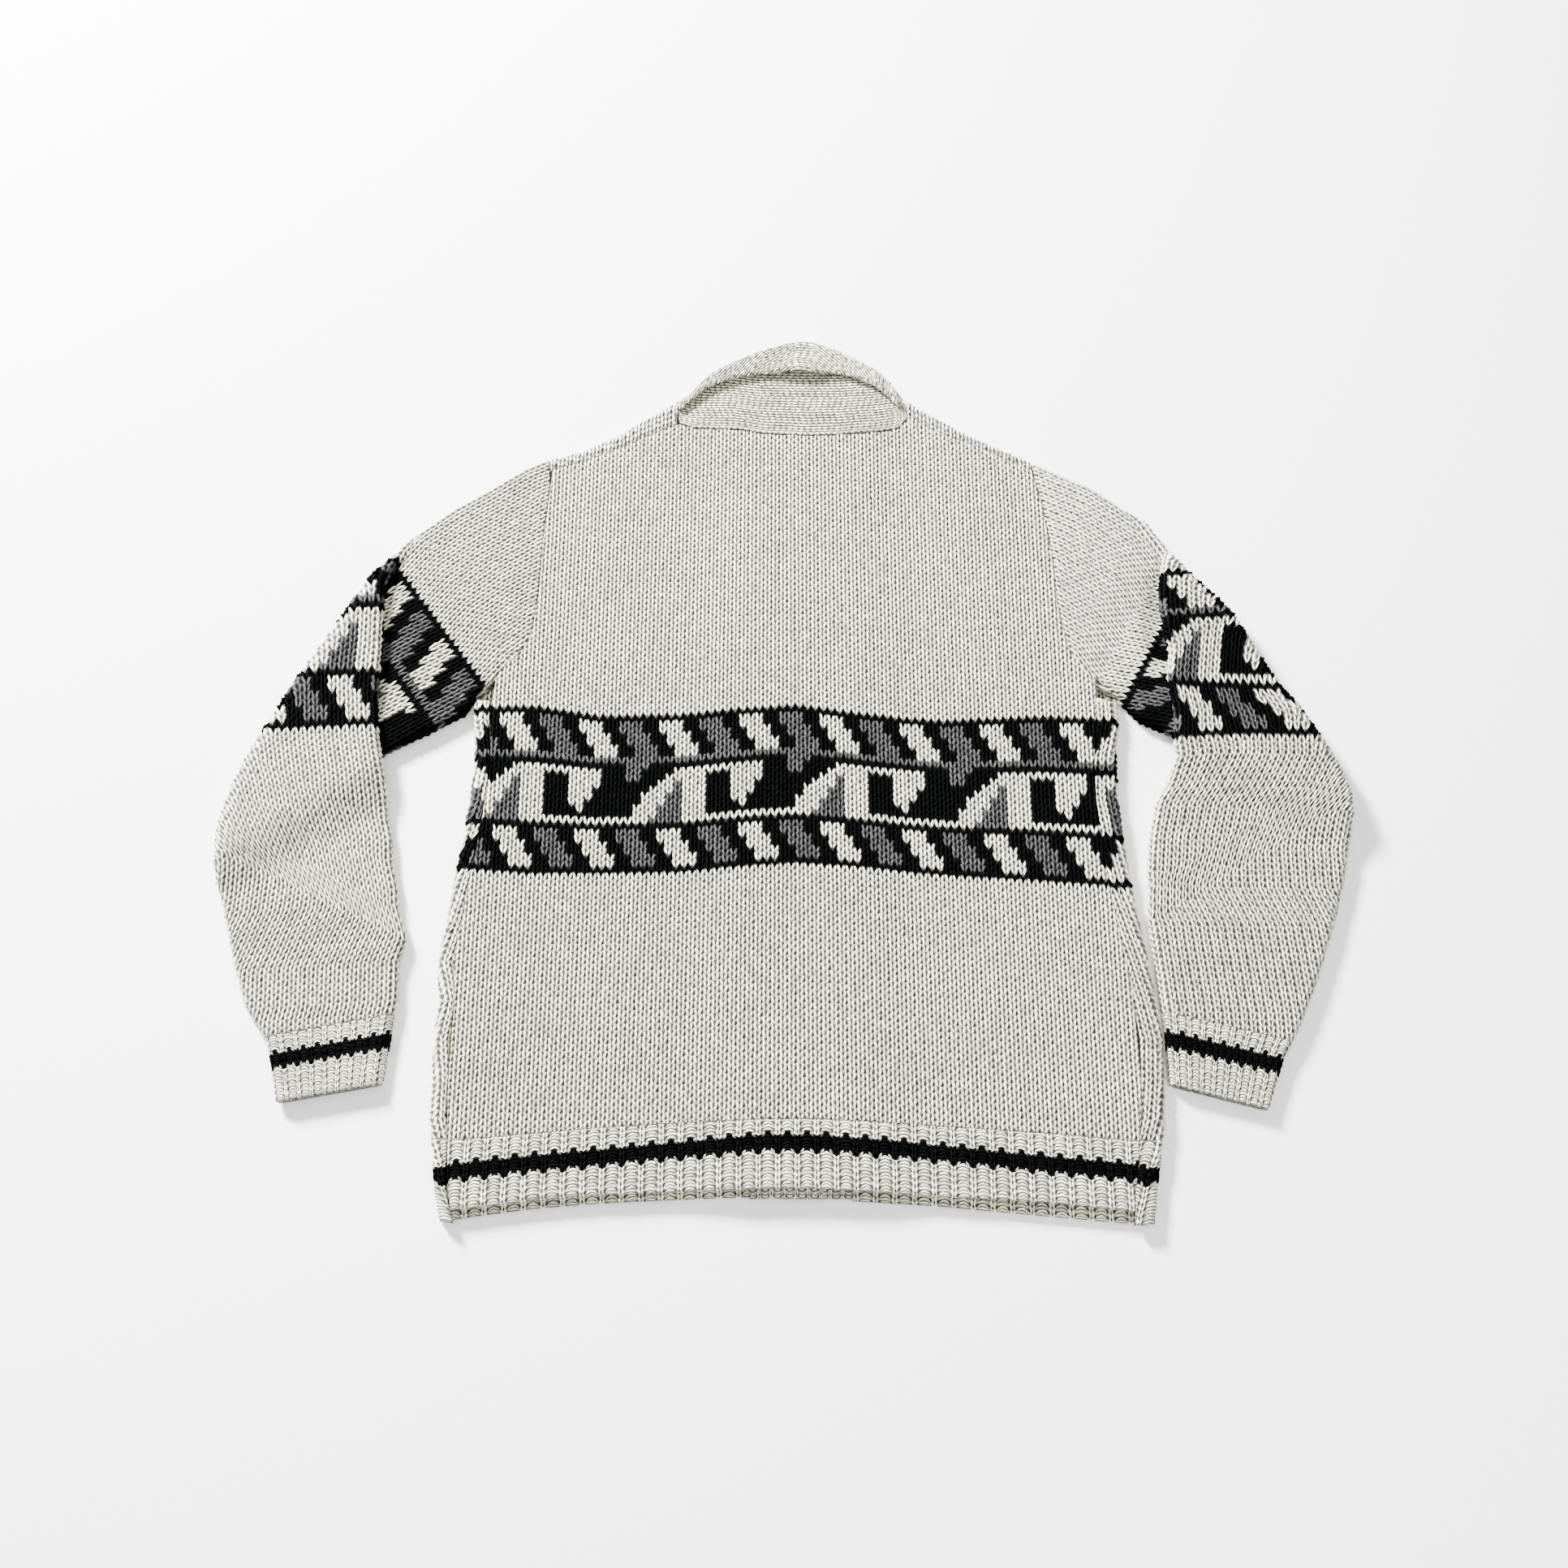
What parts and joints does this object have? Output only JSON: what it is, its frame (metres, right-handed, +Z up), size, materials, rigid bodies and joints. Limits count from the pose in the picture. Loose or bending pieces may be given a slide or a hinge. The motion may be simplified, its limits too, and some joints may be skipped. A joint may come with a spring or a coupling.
{
  "type": "knitted cardigan",
  "caption": "Chunky knitted shawl-collar cardigan laid flat on its front, its back up, both sleeves folded back beside the body, with patterned bands and ribbed edges.",
  "frame": {"origin": "on the underside of the lapped front bands, on the centre back line, about the middle of the body's length", "axes": "+X across the garment towards the right of the picture, +Y up the garment towards the collar, +Z up from the surface it lies on"},
  "size_m": [0.9864, 0.8333, 0.023],
  "materials": {
    "wool_knit": "chunky wool in plain knit, oatmeal with black and charcoal pattern bands",
    "wool_rib": "chunky wool in rib, oatmeal with a black stripe"
  },
  "bodies": {
    "root": {"back": "wool_knit", "front_left": "wool_knit", "front_right": "wool_knit", "hem_back": "wool_rib", "hem_front_left": "wool_rib", "hem_front_right": "wool_rib", "sleeve_left": "wool_knit", "sleeve_right": "wool_knit", "cuff_left": "wool_rib", "cuff_right": "wool_rib", "collar": "wool_rib", "band_left": "wool_rib", "band_right": "wool_rib"}
  },
  "joints": []
}
